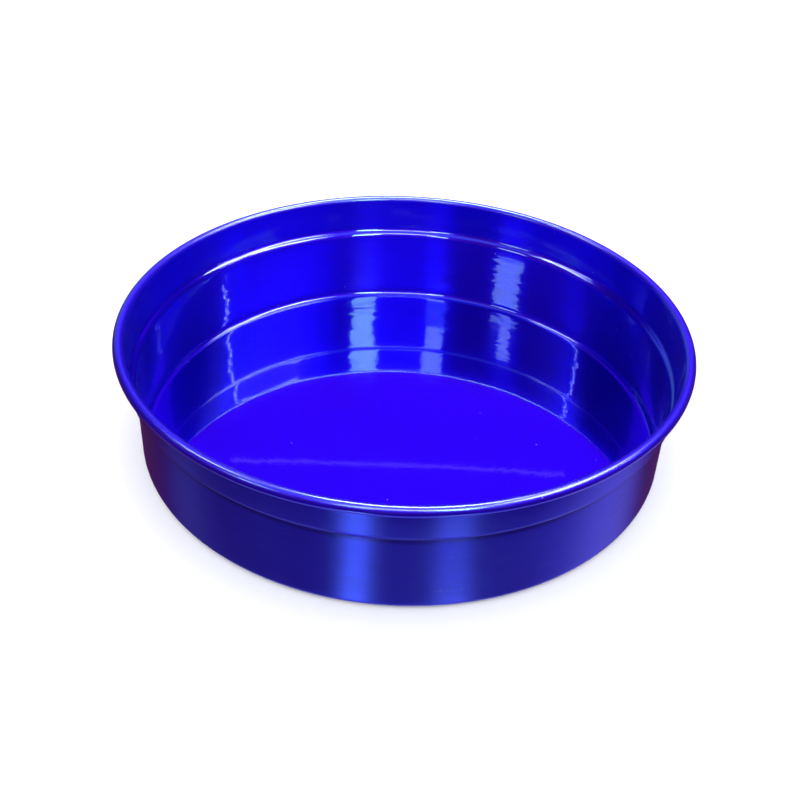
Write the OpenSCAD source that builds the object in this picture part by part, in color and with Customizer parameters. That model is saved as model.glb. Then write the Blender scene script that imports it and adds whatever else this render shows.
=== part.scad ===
// Round mud pan: one drawn sheet with a stacking shoulder and a rim rolled over a wire.
// Origin at the middle of the underside, +Z up, millimetres.

/* [Pan] */
// Overall diameter over the rolled rim
rim_d = 305; // [250:1:410]
// Overall height
pan_h = 69; // [60:1:90]
// Thickness of the sheet
sheet_t = 0.8; // [0.6:0.1:1.0]
// Outside diameter of the upright wall
wall_d = 286.8; // [230:0.2:388]
// Outside radius of the corner between the floor and the wall
foot_r = 4; // [3:0.5:8]

/* [Stacking shoulder] */
// Height above the underside where the wall starts to turn outwards
shoulder_z = 42.9; // [35:0.1:50]
// Radius of each of the shoulder's two bends, at the middle of the sheet
shoulder_r = 3.4; // [2:0.1:3.5]
// Slope of the shoulder away from upright
shoulder_slope = 55; // [50:1:65]
// Lean of the collar above the shoulder, outwards from upright
collar_lean = 3.5; // [0:0.5:4]

/* [Rolled rim] */
// Outside diameter of the rolled bead
bead_d = 5.6; // [5:0.1:8]
// Angle the curl turns through, from the top of the collar to its free edge
curl_wrap = 310; // [270:1:312]
// Diameter of the rim wire
wire_d = 3.9; // [2.9:0.1:5]
// Gap between the two butted ends of the wire
wire_gap = 1; // [0.5:0.1:3]

/* [Hidden] */

// Middle line of the sheet: bead, wall and the corner at the foot
bead_r = rim_d / 2 - bead_d / 2;
bead_z = pan_h - bead_d / 2;
curl_r = (bead_d - sheet_t) / 2;
wall_r = (wall_d - sheet_t) / 2;
foot_centre = [wall_d / 2 - foot_r, foot_r];

// The shoulder's lower bend turns outwards from the wall into the slope
lower_centre = [wall_r + shoulder_r, shoulder_z];
slope_start = lower_centre + shoulder_r * [-cos(shoulder_slope), sin(shoulder_slope)];

// The collar ends where it runs into the curl without a corner
collar_top = [bead_r, bead_z] + curl_r * [-cos(collar_lean), sin(collar_lean)];

// Lengths of the slope and the collar that carry the sheet to that point
bend_back = shoulder_r * [cos(collar_lean) - cos(shoulder_slope), sin(shoulder_slope) - sin(collar_lean)];
span = collar_top - slope_start - bend_back;
turn_back = sin(shoulder_slope - collar_lean);
slope_len = (span.x * cos(collar_lean) - span.y * sin(collar_lean)) / turn_back;
collar_len = (span.y * sin(shoulder_slope) - span.x * cos(shoulder_slope)) / turn_back;

// The shoulder's upper bend turns back from the slope into the collar
slope_end = slope_start + slope_len * [sin(shoulder_slope), cos(shoulder_slope)];
upper_centre = slope_end + shoulder_r * [-cos(shoulder_slope), sin(shoulder_slope)];
collar_start = upper_centre + shoulder_r * [cos(collar_lean), -sin(collar_lean)];

// Angles round the bead where the curl starts and ends, counted from its outermost point
curl_start = 180 - collar_lean;
curl_end = curl_start - curl_wrap;

// A straight stretch runs this far into the bend at each end
lap = 0.02;
// and each of its faces stands this far inside the bend's, so the two always cross squarely
hair = 0.002;

bend_fn = 96;
ring_fn = 240;

// A straight stretch of sheet: its middle line starts at p and leans outwards by lean
module stretch(p, lean, length) {
    t = sheet_t - 2 * hair;
    translate(p) rotate(-lean) translate([-t / 2, -lap]) square([t, length + 2 * lap]);
}

// A bend in the sheet about a centre, between two angles, its middle line at radius r
module bend(centre, r, low, high) {
    steps = ceil((high - low) / 60);
    reach = 2 * (r + sheet_t);
    rays = [for (i = [0:steps]) let (a = low + (high - low) * i / steps) reach * [cos(a), sin(a)]];
    translate(centre) intersection() {
        difference() {
            circle(r = r + sheet_t / 2, $fn = bend_fn);
            circle(r = r - sheet_t / 2, $fn = bend_fn);
        }
        polygon(concat([[0, 0]], rays));
    }
}

// Half section of the sheet, from the middle of the floor to the free edge of the curl
module sheet_section() {
    square([foot_centre.x, sheet_t]);
    bend(foot_centre, foot_r - sheet_t / 2, -90, 0);
    stretch([wall_r, foot_r], 0, shoulder_z - foot_r);
    bend(lower_centre, shoulder_r, 180 - shoulder_slope, 180);
    stretch(slope_start, shoulder_slope, slope_len);
    bend(upper_centre, shoulder_r, -shoulder_slope, -collar_lean);
    stretch(collar_start, collar_lean, collar_len);
    bend([bead_r, bead_z], curl_r, curl_end, curl_start);
}

// The pan: floor, wall, shoulder, collar and rolled rim, drawn from one sheet
module pan_shell() {
    color([0.08, 0.03, 0.85]) rotate_extrude($fn = ring_fn) sheet_section();
}

// The wire that stiffens the rim: a hoop inside the curl, its two ends butted together
module rim_wire() {
    gap_angle = wire_gap / bead_r * 180 / PI;
    color([0.62, 0.63, 0.65]) rotate([0, 0, gap_angle / 2])
        rotate_extrude(angle = 360 - gap_angle, $fn = ring_fn)
            translate([bead_r, bead_z]) circle(d = wire_d, $fn = bend_fn);
}

pan_shell();
rim_wire();
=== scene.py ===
"""Round mud pan: a spun sheet-metal pan in transparent blue lacquer, with its rim rolled over a wire."""

import math

import bpy
from mathutils import Matrix, Vector, noise


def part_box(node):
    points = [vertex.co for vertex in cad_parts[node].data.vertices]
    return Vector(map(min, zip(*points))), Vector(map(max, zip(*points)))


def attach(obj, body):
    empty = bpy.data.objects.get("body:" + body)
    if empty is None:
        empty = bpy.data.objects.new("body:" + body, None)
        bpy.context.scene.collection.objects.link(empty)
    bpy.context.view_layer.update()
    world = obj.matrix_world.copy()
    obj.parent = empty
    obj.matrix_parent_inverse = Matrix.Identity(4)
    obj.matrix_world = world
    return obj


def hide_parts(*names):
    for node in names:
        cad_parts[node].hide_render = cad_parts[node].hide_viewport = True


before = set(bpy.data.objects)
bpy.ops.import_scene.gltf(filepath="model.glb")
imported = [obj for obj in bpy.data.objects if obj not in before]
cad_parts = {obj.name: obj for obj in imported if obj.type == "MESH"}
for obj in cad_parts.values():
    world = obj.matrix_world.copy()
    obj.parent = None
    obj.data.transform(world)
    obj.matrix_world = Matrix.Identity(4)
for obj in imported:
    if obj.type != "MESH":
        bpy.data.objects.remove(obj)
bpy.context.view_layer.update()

# ---------------------------------------------------------------- sizes, in metres
# The overall ones come from the frame; the sheet's thickness and bends are those of the part's source.
shell_low, shell_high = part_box("pan_shell")
wire_low, wire_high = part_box("rim_wire")

PAN_HEIGHT = shell_high.z
RIM_RADIUS = shell_high.x
BEAD_Z = (wire_high.z + wire_low.z) / 2
BEAD_OUTER = PAN_HEIGHT - BEAD_Z
BEAD_CENTRE = RIM_RADIUS - BEAD_OUTER
SHEET = 0.0008
WALL_OUTER = 0.1434
FOOT_RADIUS = 0.004
FLAT_RADIUS = WALL_OUTER - FOOT_RADIUS
SHOULDER_Z = 0.0429
SHOULDER_RADIUS = 0.0034
SHOULDER_SLOPE = math.radians(55)
COLLAR_LEAN = math.radians(3.5)
CURL_WRAP = math.radians(310)

# How finely the skin is cut, and how uneven the sheet is
RING_STEPS = 288
LONGEST_STEP = 0.004
FOOT_STEPS = 14
SHOULDER_STEPS = 10
CURL_STEPS = 64
SLOW_WAVE = 0.00006
FINE_WAVE = 0.000006
EVEN_BY_RIM = 0.006
EVEN_BY_FOOT = FLAT_RADIUS / 4
TINY = 1e-6

SURFACES = ["floor", "inside", "rim", "outside", "underside"]


# ---------------------------------------------------------------- the sheet's section
def on_circle(centre, radius, angle):
    return (centre[0] + radius * math.cos(angle), centre[1] + radius * math.sin(angle))


def section_bends():
    """The bends of the sheet's middle line, from the foot to the curl's free edge.

    Each is (centre, radius, first angle, last angle, steps), in the plane of radius and height. The line
    is straight between one bend and the next."""
    curl = BEAD_OUTER - SHEET / 2
    wall = WALL_OUTER - SHEET / 2
    slope, lean = SHOULDER_SLOPE, COLLAR_LEAN
    r = SHOULDER_RADIUS
    foot = (FLAT_RADIUS, FOOT_RADIUS)
    lower = (wall + r, SHOULDER_Z)
    slope_start = on_circle(lower, r, math.pi - slope)
    collar_top = on_circle((BEAD_CENTRE, BEAD_Z), curl, math.pi - lean)
    across = collar_top[0] - slope_start[0] - r * (math.cos(lean) - math.cos(slope))
    rise = collar_top[1] - slope_start[1] - r * (math.sin(slope) - math.sin(lean))
    slope_len = (across * math.cos(lean) - rise * math.sin(lean)) / math.sin(slope - lean)
    upper = (
        slope_start[0] + slope_len * math.sin(slope) - r * math.cos(slope),
        slope_start[1] + slope_len * math.cos(slope) + r * math.sin(slope),
    )
    return [
        (foot, FOOT_RADIUS - SHEET / 2, -math.pi / 2, 0, FOOT_STEPS),
        (lower, r, math.pi, math.pi - slope, SHOULDER_STEPS),
        (upper, r, -slope, -lean, SHOULDER_STEPS),
        ((BEAD_CENTRE, BEAD_Z), curl, math.pi - lean, math.pi - lean - CURL_WRAP, CURL_STEPS),
    ]


def section_side(side):
    """One face of the sheet as (radius, height) points: side +1 is the pan's outside, -1 its inside."""
    points = []
    for centre, radius, first, last, steps in section_bends():
        turn = 1 if last > first else -1
        face = radius + side * turn * SHEET / 2
        for i in range(steps + 1):
            points.append(on_circle(centre, face, first + (last - first) * i / steps))
    return points


def spread(points, longest):
    """Adds points along the straight stretches, so that no step is longer than longest."""
    out = [points[0]]
    for a, b in zip(points, points[1:]):
        gap = math.dist(a, b)
        n = max(1, math.ceil(gap / longest))
        for i in range(1, n + 1):
            out.append((a[0] + (b[0] - a[0]) * i / n, a[1] + (b[1] - a[1]) * i / n))
    return out


def full_section():
    """Section from the middle of the floor's upper face, over the rim, to the middle of its underside.

    Returns the points and, for the span that starts at each point, the name of its surface."""
    inner = spread([(0.0, SHEET)] + section_side(-1), LONGEST_STEP)
    outer = spread([(0.0, 0.0)] + section_side(1), LONGEST_STEP)
    outer.reverse()
    rim_start = BEAD_CENTRE - BEAD_OUTER * 1.05
    names = []
    for a, b in zip(inner, inner[1:]):
        if b[1] < SHEET + TINY:
            names.append("floor")
        elif a[0] > rim_start:
            names.append("rim")
        else:
            names.append("inside")
    names.append("rim")
    for a, b in zip(outer, outer[1:]):
        names.append("underside" if a[1] < TINY else "outside")
    return inner + outer, names


# ---------------------------------------------------------------- small unevenness of the spun sheet
def ripple(x, y, z):
    """How far the sheet stands off its true surface: slow waves left by spinning and handling."""
    slow = noise.noise(Vector((x * 9 + 3.1, y * 9 - 1.7, z * 6)))
    fine = noise.noise(Vector((x * 38 - 5.2, y * 38 + 2.3, z * 20)))
    return SLOW_WAVE * slow + FINE_WAVE * fine


def fade(distance, over):
    """0 where distance is nothing or less, rising evenly to 1 where it reaches over."""
    return min(1.0, max(0.0, distance / over))


def skin_point(radius, height, angle):
    """A point of the skin, moved off its true surface by the ripple, which dies out at the rim and foot."""
    x, y = radius * math.cos(angle), radius * math.sin(angle)
    off = ripple(x, y, height) * fade(RIM_RADIUS - radius, EVEN_BY_RIM)
    if height > SHEET + TINY:
        grow = 1 + off / radius
        return (x * grow, y * grow, height)
    if height > SHEET / 2:
        return (x, y, height + off * fade(FLAT_RADIUS - radius, EVEN_BY_FOOT))
    return (x, y, height)


def build_shell():
    """The pan's skin: the section turned about the axis, each face carrying its surface's material."""
    section, names = full_section()
    angles = [2 * math.pi * k / RING_STEPS for k in range(RING_STEPS)]
    verts, rings = [], []
    for radius, height in section:
        if radius < TINY:
            rings.append([len(verts)])
            verts.append((0.0, 0.0, height))
            continue
        ring = list(range(len(verts), len(verts) + RING_STEPS))
        verts.extend(skin_point(radius, height, angle) for angle in angles)
        rings.append(ring)
    faces, face_surface = [], []
    for i, name in enumerate(names):
        a, b = rings[i], rings[i + 1]
        for k in range(RING_STEPS):
            j = (k + 1) % RING_STEPS
            if len(a) == 1:
                faces.append((a[0], b[k], b[j]))
            elif len(b) == 1:
                faces.append((a[k], b[0], a[j]))
            else:
                faces.append((a[k], b[k], b[j], a[j]))
            face_surface.append(SURFACES.index(name))
    mesh = bpy.data.meshes.new("pan_shell_skin")
    mesh.from_pydata(verts, [], faces)
    mesh.update()
    mesh.polygons.foreach_set("material_index", face_surface)
    mesh.polygons.foreach_set("use_smooth", [True] * len(faces))
    obj = bpy.data.objects.new("pan_shell_skin", mesh)
    bpy.context.scene.collection.objects.link(obj)
    return obj


# ---------------------------------------------------------------- materials
# Each lacquer as its thin and its thick colour
CLEAR_BLUE = ((0.02, 0.004, 0.85, 1), (0.015, 0.002, 0.66, 1))
SATIN_BLUE = ((0.05, 0.05, 0.80, 1), (0.04, 0.033, 0.58, 1))
DUST = (0.34, 0.36, 0.72, 1)
SCUFF = (0.12, 0.12, 0.76, 1)
# Painted shade: the dark blue laid along the outside shoulder's crease, where shade falls
CREASE_SHADE_BLUE = (0.02, 0.012, 0.30, 1)
BRIGHT_STEEL = (0.50, 0.51, 0.53, 1)
DULL_STEEL = (0.34, 0.35, 0.37, 1)
GREASE = (0.20, 0.19, 0.18, 1)
RUST = (0.16, 0.06, 0.025, 1)

COAT_IOR = 1.8
QUARTER_TURN = 0.25
SWELL_LEAN = 0.006
# Painted shade along the outside shoulder's crease: the height where it starts, then where it is full, from
# either side
SHADE_FROM_BELOW = (0.0400, 0.0434)
SHADE_FROM_ABOVE = (0.0474, 0.0442)


class Graph:
    """Adds nodes to one material; an input is given as a number, a colour or another node's output."""

    def __init__(self, name):
        self.material = bpy.data.materials.new(name)
        self.material.use_nodes = True
        self.tree = self.material.node_tree
        self.shader = self.tree.nodes["Principled BSDF"]
        place = self.add("TexCoord", {}).outputs["Object"]
        level = self.vector("MULTIPLY", place, (1, 1, 0))
        radius = self.add("VectorMath", {0: level}, operation="LENGTH").outputs["Value"]
        self.place = place
        self.height = self.add("SeparateXYZ", {0: place}).outputs["Z"]
        self.outward = self.vector("NORMALIZE", level)
        self.path = self.math("ADD", radius, self.height)

    def set(self, node, inputs):
        for key, value in inputs.items():
            if isinstance(value, bpy.types.NodeSocket):
                self.tree.links.new(value, node.inputs[key])
            else:
                node.inputs[key].default_value = value

    def add(self, kind, inputs, **settings):
        node = self.tree.nodes.new("ShaderNode" + kind)
        for key, value in settings.items():
            setattr(node, key, value)
        self.set(node, inputs)
        return node

    def math(self, operation, a, b=0.0):
        return self.add("Math", {0: a, 1: b}, operation=operation).outputs[0]

    def vector(self, operation, a, b=(0, 0, 0), c=(0, 0, 0)):
        return self.add("VectorMath", {0: a, 1: b, 2: c}, operation=operation).outputs["Vector"]

    def ramp(self, value, low, high, to_low=0.0, to_high=1.0):
        """to_low where value is low, rising smoothly to to_high where it is high."""
        ends = {"Value": value, "From Min": low, "From Max": high, "To Min": to_low, "To Max": to_high}
        return self.add("MapRange", ends, interpolation_type="SMOOTHSTEP").outputs["Result"]

    def spun(self, around, across, detail=2.0):
        """Noise drawn out round the pan's axis.

        around is its detail round the axis, across its detail per metre along the section."""
        along = self.add("CombineXYZ", {"Z": self.math("MULTIPLY", self.path, across)}).outputs[0]
        where = self.vector("MULTIPLY_ADD", self.outward, (around, around, 0), along)
        return self.add("TexNoise", {"Vector": where, "Scale": 1.0, "Detail": detail})

    def blotch(self, scale, detail=2.0):
        """Even noise, scale features to the metre."""
        return self.add("TexNoise", {"Vector": self.place, "Scale": scale, "Detail": detail}).outputs["Fac"]

    def mix(self, factor, first, second):
        node = self.add("Mix", {0: factor, 6: first, 7: second}, data_type="RGBA")
        return node.outputs[2]

    def tilted_normal(self, noises):
        """The normal, leant by each (noise, round, up): radians round the pan's axis and up its side."""
        normal = self.add("NewGeometry", {}).outputs["Normal"]
        round_axis = self.vector("CROSS_PRODUCT", (0, 0, 1), self.outward)
        up_side = self.vector("CROSS_PRODUCT", normal, round_axis)
        leant = normal
        for noise_node, lean_round, lean_up in noises:
            parts = self.add("SeparateColor", {0: noise_node.outputs["Color"]})
            for part, axis, lean in ((0, round_axis, lean_round), (1, up_side, lean_up)):
                amount = self.math("MULTIPLY", self.math("SUBTRACT", parts.outputs[part], 0.5), lean)
                scaled = self.add("VectorMath", {0: axis, "Scale": amount}, operation="SCALE")
                leant = self.vector("ADD", leant, scaled.outputs["Vector"])
        return self.vector("NORMALIZE", leant)


def lacquered(name, tones, roughness, stretch, coat, coat_roughness, lines, scuffs, crease_shade=0.0):
    """Transparent blue lacquer over spun metal.

    stretch is how far highlights run across the spin lines, lines how strongly those lines lean the
    surface in radians, scuffs how much of it is rubbed, and crease_shade how strongly a painted shade
    darkens the outside along the shoulder's crease."""
    g = Graph(name)
    thin, thick = tones
    chatter = g.spun(around=9, across=520, detail=3.0)
    fine = g.spun(around=2.5, across=1500, detail=3.0)
    fine_fac = fine.outputs["Fac"]
    cloud = g.blotch(scale=24, detail=3.0)
    flake = g.blotch(scale=1300, detail=1.0)

    depth = g.math("ADD", g.ramp(cloud, 0.35, 0.7, 0.0, 0.35), g.ramp(fine_fac, 0.35, 0.7, 0.0, 0.25))
    depth = g.math("ADD", depth, g.ramp(flake, 0.3, 0.7, 0.0, 0.18))
    tone = g.mix(g.math("MINIMUM", depth, 1.0), thin, thick)
    # Painted shade: the outside shoulder's crease is darkened to dark blue, where shade falls
    if crease_shade:
        below = g.ramp(g.height, *SHADE_FROM_BELOW)
        above = g.ramp(g.height, *SHADE_FROM_ABOVE)
        shaded_crease = g.math("MULTIPLY", below, above)
        tone = g.mix(g.math("MULTIPLY", shaded_crease, crease_shade), tone, CREASE_SHADE_BLUE)

    strokes = g.spun(around=1.6, across=2600, detail=1.0).outputs["Fac"]
    patchy = g.ramp(g.blotch(scale=55), 0.5, 0.72)
    rubbed = g.math("MULTIPLY", g.ramp(strokes, 0.62, 0.72), g.math("MULTIPLY", patchy, scuffs))
    tone = g.mix(rubbed, tone, SCUFF)

    specks = g.add("TexVoronoi", {"Vector": g.place, "Scale": 75.0, "Randomness": 1.0})
    dust = g.math("MULTIPLY", g.ramp(specks.outputs["Distance"], 0.035, 0.015), 0.55)
    tone = g.mix(dust, tone, DUST)

    rough = g.ramp(fine_fac, 0.3, 0.7, roughness - 0.02, roughness + 0.03)
    rough = g.math("ADD", rough, g.math("MULTIPLY", rubbed, 0.15))
    rough = g.math("ADD", rough, g.math("MULTIPLY", dust, 0.5))
    swell = g.add("TexNoise", {"Vector": g.place, "Scale": 16.0, "Detail": 1.0})
    normal = g.tilted_normal([
        (chatter, lines, lines * 0.35),
        (fine, lines * 0.25, lines * 0.45),
        (swell, SWELL_LEAN, SWELL_LEAN),
    ])
    tangent = g.add("Tangent", {}, direction_type="RADIAL", axis="Z").outputs["Tangent"]
    g.set(g.shader, {
        "Base Color": tone,
        "Metallic": g.math("SUBTRACT", 1.0, dust),
        "Roughness": rough,
        "Anisotropic": stretch,
        "Anisotropic Rotation": QUARTER_TURN,
        "Tangent": tangent,
        "Coat Weight": coat,
        "Coat Roughness": coat_roughness,
        "Coat IOR": COAT_IOR,
        "Normal": normal,
        "Coat Normal": normal,
    })
    return g.material


def drawn_steel(name):
    """Bright drawn wire: fine marks along its length, a little grease and a few rust freckles."""
    g = Graph(name)
    marks = g.spun(around=3, across=5200)
    grease = g.ramp(g.blotch(scale=140, detail=3.0), 0.45, 0.7)
    rust = g.ramp(g.blotch(scale=420, detail=4.0), 0.66, 0.74)
    tone = g.mix(g.ramp(marks.outputs["Fac"], 0.3, 0.7), BRIGHT_STEEL, DULL_STEEL)
    tone = g.mix(g.math("MULTIPLY", grease, 0.4), tone, GREASE)
    tone = g.mix(rust, tone, RUST)
    g.set(g.shader, {
        "Base Color": tone,
        "Metallic": g.math("SUBTRACT", 1.0, g.math("MULTIPLY", rust, 0.8)),
        "Roughness": g.math("ADD", g.ramp(grease, 0, 1, 0.3, 0.45), g.math("MULTIPLY", rust, 0.35)),
        "Normal": g.tilted_normal([(marks, 0.01, 0.05)]),
    })
    return g.material


# ---------------------------------------------------------------- the pan
shell = build_shell()
looks = {
    "floor": lacquered(
        "floor_lacquer", CLEAR_BLUE, roughness=0.14, stretch=0.0,
        coat=1.0, coat_roughness=0.03, lines=0.005, scuffs=0.1,
    ),
    "inside": lacquered(
        "inside_lacquer", CLEAR_BLUE, roughness=0.30, stretch=0.9,
        coat=1.0, coat_roughness=0.04, lines=0.065, scuffs=0.1,
    ),
    "rim": lacquered(
        "rim_lacquer", CLEAR_BLUE, roughness=0.45, stretch=0.0,
        coat=1.0, coat_roughness=0.2, lines=0.002, scuffs=0.2,
    ),
    "outside": lacquered(
        "outside_lacquer", SATIN_BLUE, roughness=0.35, stretch=0.9,
        # with painted shade along the shoulder's crease
        coat=0.4, coat_roughness=0.28, lines=0.02, scuffs=0.5, crease_shade=0.9,
    ),
    "underside": lacquered(
        "underside_lacquer", SATIN_BLUE, roughness=0.37, stretch=0.6,
        coat=0.4, coat_roughness=0.28, lines=0.02, scuffs=1.0,
    ),
}
for surface in SURFACES:
    shell.data.materials.append(looks[surface])
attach(shell, "root")
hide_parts("pan_shell")

wire = bpy.data.objects["rim_wire"]
wire.data.materials.clear()
wire.data.materials.append(drawn_steel("wire_drawn_steel"))

# ---------------------------------------------------------------- studio floor
FLOOR_HALF_WIDTH = 12.0
FLOOR_DROP = 0.0002
FLOOR_WHITE = (0.9, 0.9, 0.9, 1)

floor_mesh = bpy.data.meshes.new("studio_floor")
span = FLOOR_HALF_WIDTH
corners = [(-span, -span, 0), (span, -span, 0), (span, span, 0), (-span, span, 0)]
floor_mesh.from_pydata(corners, [], [(0, 1, 2, 3)])
floor = bpy.data.objects.new("studio_floor", floor_mesh)
floor.location.z = -FLOOR_DROP
bpy.context.scene.collection.objects.link(floor)
floor.visible_glossy = False
backdrop = Graph("studio_floor")
backdrop.set(backdrop.shader, {"Base Color": FLOOR_WHITE, "Roughness": 1.0, "Specular IOR Level": 0.0})
# Clear from below, so that the pan's underside can be looked at
one_sided = backdrop.add("MixShader", {
    0: backdrop.add("NewGeometry", {}).outputs["Backfacing"],
    1: backdrop.shader.outputs["BSDF"],
    2: backdrop.add("BsdfTransparent", {}).outputs["BSDF"],
})
surface_out = backdrop.tree.nodes["Material Output"]
backdrop.set(surface_out, {"Surface": one_sided.outputs["Shader"]})
floor_mesh.materials.append(backdrop.material)


# ---------------------------------------------------------------- lights
def direction(azimuth, elevation):
    """Unit vector towards an azimuth and elevation in degrees.

    Azimuth 0 is the camera's side, and azimuths to the camera's right are positive."""
    a, e = math.radians(azimuth), math.radians(elevation)
    return Vector((math.sin(a) * math.cos(e), -math.cos(a) * math.cos(e), math.sin(e)))


def panel(name, azimuth, distance, width, low, high, radiance):
    """A softbox facing the pan at a level distance in metres, width degrees wide, between two elevations.

    It shows in glossy reflections only. radiance is its brightness in red, green and blue."""
    mid = (low + high) / 2
    reach = distance / math.cos(math.radians(mid))
    light = bpy.data.lights.new(name, "AREA")
    light.shape = "RECTANGLE"
    light.size = 2 * distance * math.tan(math.radians(width / 2))
    light.size_y = 2 * reach * math.tan(math.radians((high - low) / 2))
    peak = max(radiance)
    light.color = [c / peak for c in radiance]
    light.energy = peak * 4 * light.size * light.size_y
    obj = bpy.data.objects.new(name, light)
    d = direction(azimuth, mid)
    obj.location = d * reach
    obj.rotation_euler = d.to_track_quat("Z", "Y").to_euler()
    obj.visible_camera = False
    obj.visible_diffuse = False
    bpy.context.scene.collection.objects.link(obj)


# Windows that two panels share: azimuth, distance, width
RIGHT_WINDOW = (23.3, 0.556, 13.3)
LEFT_WINDOW = (-15.6, 0.721, 10.2)

# Windows round the camera's side, mirrored by the inside wall and the pan's floor as patches and thin lines
panel("window_right", *RIGHT_WINDOW, 36.8, 54.9, (8, 18.5, 3))
panel("window_left_low", *LEFT_WINDOW, 34.6, 37.4, (0.4, 1.2, 6.0))
panel("window_left_high", *LEFT_WINDOW, 37.4, 52.5, (5.6, 9.5, 3.5))
panel("window_left_mid", -51.6, 0.9, 13.4, 29.4, 35.6, (4.8, 8.2, 4.0))
panel("window_left_step", -53.2, 0.9, 6.0, 35.6, 39.2, (5.5, 8.0, 4.0))
panel("edge_right", 96, 1.75, 0.8, 30.5, 45.6, (17, 22, 21))
panel("edge_left", -94, 1.73, 0.8, 34.6, 45.8, (12, 16, 15))

# Dim blue glows that brighten stretches of the inside wall
panel("glow_front", 3, 1.2, 24, 33, 52, (0.02, 0.002, 0.6))
panel("glow_right", 66, 1.2, 60, 30, 55, (0.02, 0.002, 0.9))

# High panels to the sides, for the bright lines along the shoulder and the rim
panel("ceiling_right", 76, 1.0, 42, 47, 64, (10, 13, 5))
panel("rim_right", 116, 1.2, 30, 48, 62, (8, 10, 3))
panel("ceiling_left", -104, 1.0, 14, 48, 64, (9, 11, 5))

# Glare from below the horizon, for the soft upright bands on the outside wall
panel("glare_right", *RIGHT_WINDOW, -48.5, -36.8, (1.0, 1.7, 2.5))
panel("glare_left", *LEFT_WINDOW, -47.5, -34.6, (1.5, 3.1, 4.5))
panel("glare_side_right", 98, 1.75, 36, -60, -25, (0.35, 0.36, 0.70))
panel("glare_side_left", -98, 1.73, 18, -60, -25, (0.1, 0.14, 0.18))

# Behind the pan: a light edge on the rim at the left, the thin line across the pan's floor, and its blue
panel("back_rim_left", -152, 1.5, 40, 2, 30, (0.1, 0.28, 0.2))
panel("back_seam", 180, 2.0, 28, 39.93, 40.05, (0.6, 0.3, 0.9))
panel("back_wall", 180, 2.0, 78, 28, 62, (0.13, 0.001, 0.78))

# Two high panels either side of the zenith, for the bright stripe round the rim
panel("ceiling_front", 5, 0.70, 42, 50, 67, (4.5, 5.5, 3.5))
panel("ceiling_back", 175, 0.72, 50, 59, 71, (20, 29, 5))


SOFT_STRENGTH = 1.8


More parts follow.
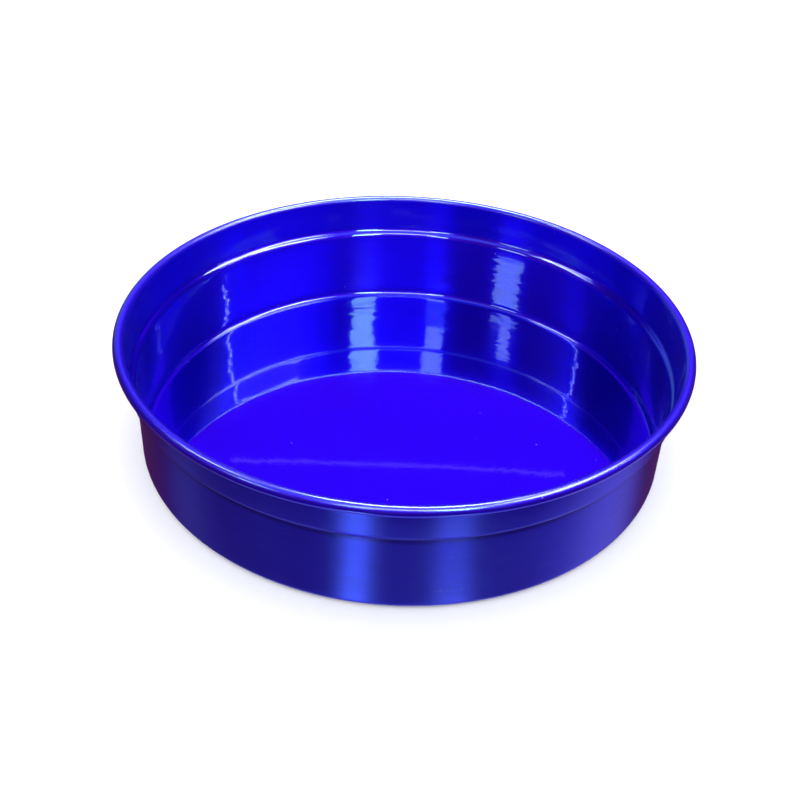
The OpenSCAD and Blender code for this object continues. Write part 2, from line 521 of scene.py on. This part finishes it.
def build_dome(colours):
    """White for the studio floor; in reflections, a dim room whose colour depends on the direction."""
    world = bpy.data.worlds.new("studio")
    bpy.context.scene.world = world
    world.use_nodes = True
    nodes, links = world.node_tree.nodes, world.node_tree.links
    nodes.clear()
    split = nodes.new("ShaderNodeSeparateXYZ")
    links.new(nodes.new("ShaderNodeTexCoord").outputs["Generated"], split.inputs[0])

    def share(axis, low, high):
        """0 to 1 as the direction's component along an axis goes from low to high."""
        node = nodes.new("ShaderNodeMapRange")
        node.interpolation_type = "SMOOTHSTEP"
        node.inputs["From Min"].default_value = low
        node.inputs["From Max"].default_value = high
        links.new(split.outputs[axis], node.inputs["Value"])
        return node.outputs["Result"]

    def blend(factor, first, second):
        """first where factor is 0, second where it is 1; each is a colour's name or another blend."""
        node = nodes.new("ShaderNodeMix")
        node.data_type = "RGBA"
        links.new(factor, node.inputs["Factor"])
        for socket, source in ((node.inputs[6], first), (node.inputs[7], second)):
            if isinstance(source, str):
                rgb = nodes.new("ShaderNodeRGB")
                rgb.name = source
                rgb.outputs[0].default_value = (*colours[source], 1)
                source = rgb.outputs[0]
            links.new(source, socket)
        return node.outputs[2]

    to_right = share("X", -0.3, 0.3)
    front = blend(to_right, "front_left", "front_right")
    back = blend(to_right, "back_left", "back_right")
    upper = blend(share("Z", 0.78, 0.95), blend(share("Y", -0.3, 0.3), front, back), "above")
    level = blend(share("Y", 0.1, 0.6), "below_front", "below_back")
    lower = blend(share("Z", -0.94, -0.80), "underneath", level)
    dome = nodes.new("ShaderNodeBackground")
    links.new(blend(share("Z", -0.12, 0.12), lower, upper), dome.inputs["Color"])
    soft = nodes.new("ShaderNodeBackground")
    soft.inputs["Color"].default_value = (1, 1, 1, 1)
    soft.inputs["Strength"].default_value = SOFT_STRENGTH
    mix = nodes.new("ShaderNodeMixShader")
    links.new(nodes.new("ShaderNodeLightPath").outputs["Is Glossy Ray"], mix.inputs["Fac"])
    links.new(soft.outputs[0], mix.inputs[1])
    links.new(dome.outputs[0], mix.inputs[2])
    links.new(mix.outputs[0], nodes.new("ShaderNodeOutputWorld").inputs["Surface"])


build_dome({
    "above": (0.40, 0.50, 1.15),
    "below_front": (0.06, 0.003, 0.15),
    "below_back": (0.16, 0.02, 0.02),
    "underneath": (0.3, 0.3, 0.8),
    "front_left": (0.20, 0.02, 0.26),
    "front_right": (0.20, 0.005, 0.46),
    "back_left": (0.03, 0.005, 0.12),
    "back_right": (0.04, 0.005, 0.30),
})

# ---------------------------------------------------------------- camera
VIEW_ELEVATION = math.radians(35.955)
VIEW_ROLL = math.radians(2.65)
VIEW_DEPTH = 0.5770
FOCAL_PER_WIDTH = 1.35119
SENSOR_WIDTH = 36
# How far the rim's centre lies to the right of the camera's axis and above it
RIM_RIGHT = 0.00302
RIM_ABOVE = 0.04095

forward = Vector((0, math.cos(VIEW_ELEVATION), -math.sin(VIEW_ELEVATION)))
level_up = Vector((0, math.sin(VIEW_ELEVATION), math.cos(VIEW_ELEVATION)))
level_right = Vector((1, 0, 0))
cos_roll, sin_roll = math.cos(VIEW_ROLL), math.sin(VIEW_ROLL)
right = level_right * cos_roll + level_up * sin_roll
up = level_up * cos_roll - level_right * sin_roll
rim_centre = Vector((0, 0, BEAD_Z))
camera_data = bpy.data.cameras.new("camera")
camera_data.sensor_width = SENSOR_WIDTH
camera_data.lens = SENSOR_WIDTH * FOCAL_PER_WIDTH
camera_data.clip_start = 0.01
camera = bpy.data.objects.new("camera", camera_data)
spot = rim_centre - forward * VIEW_DEPTH - right * RIM_RIGHT - up * RIM_ABOVE
camera.matrix_world = Matrix.Translation(spot) @ Matrix((right, up, -forward)).transposed().to_4x4()
bpy.context.scene.collection.objects.link(camera)
bpy.context.scene.camera = camera
bpy.context.scene.view_settings.view_transform = "Standard"
